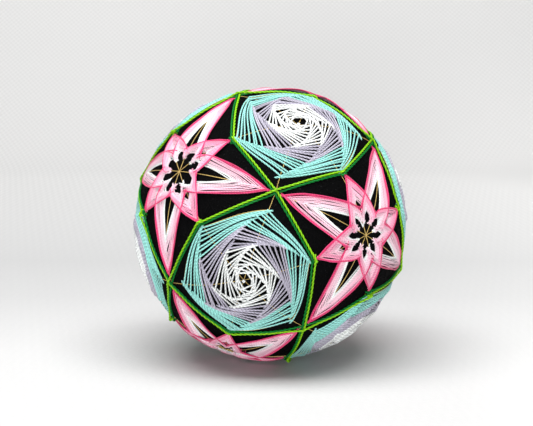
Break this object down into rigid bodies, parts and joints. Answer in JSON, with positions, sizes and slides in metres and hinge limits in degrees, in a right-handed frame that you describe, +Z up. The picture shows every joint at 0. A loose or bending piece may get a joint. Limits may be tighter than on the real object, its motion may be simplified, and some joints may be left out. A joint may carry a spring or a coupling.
{
  "type": "temari ball",
  "caption": "Thread-wound ball stitched all over with six-sided whirls and eight-pointed lilies outlined by paired green rows.",
  "frame": {"origin": "middle of the small flat foot on which the ball rests", "axes": "+Z up from the foot through the ball's centre, -Y towards the side seen in the picture, +X to that viewer's right"},
  "size_m": [0.0822, 0.0823, 0.0813],
  "materials": {
    "black_thread": "matt wound sewing thread",
    "whirl_thread": "satin cotton thread in turquoise, lilac grey and white",
    "lily_thread": "satin cotton thread shaded from white to hot pink",
    "light_green_thread": "satin two-ply cotton thread",
    "dark_green_thread": "satin two-ply cotton thread"
  },
  "bodies": {
    "root": {"core": "black_thread", "whirl_1": "whirl_thread", "whirl_2": "whirl_thread", "whirl_3": "whirl_thread", "whirl_4": "whirl_thread", "whirl_5": "whirl_thread", "whirl_6": "whirl_thread", "whirl_7": "whirl_thread", "whirl_8": "whirl_thread", "lily_1": "lily_thread", "lily_2": "lily_thread", "lily_3": "lily_thread", "lily_4": "lily_thread", "lily_5": "lily_thread", "lily_6": "lily_thread", "light_row_1": "light_green_thread", "light_row_2": "light_green_thread", "light_row_3": "light_green_thread", "light_row_4": "light_green_thread", "dark_row_1": "dark_green_thread", "dark_row_2": "dark_green_thread", "dark_row_3": "dark_green_thread", "dark_row_4": "dark_green_thread"}
  },
  "joints": []
}
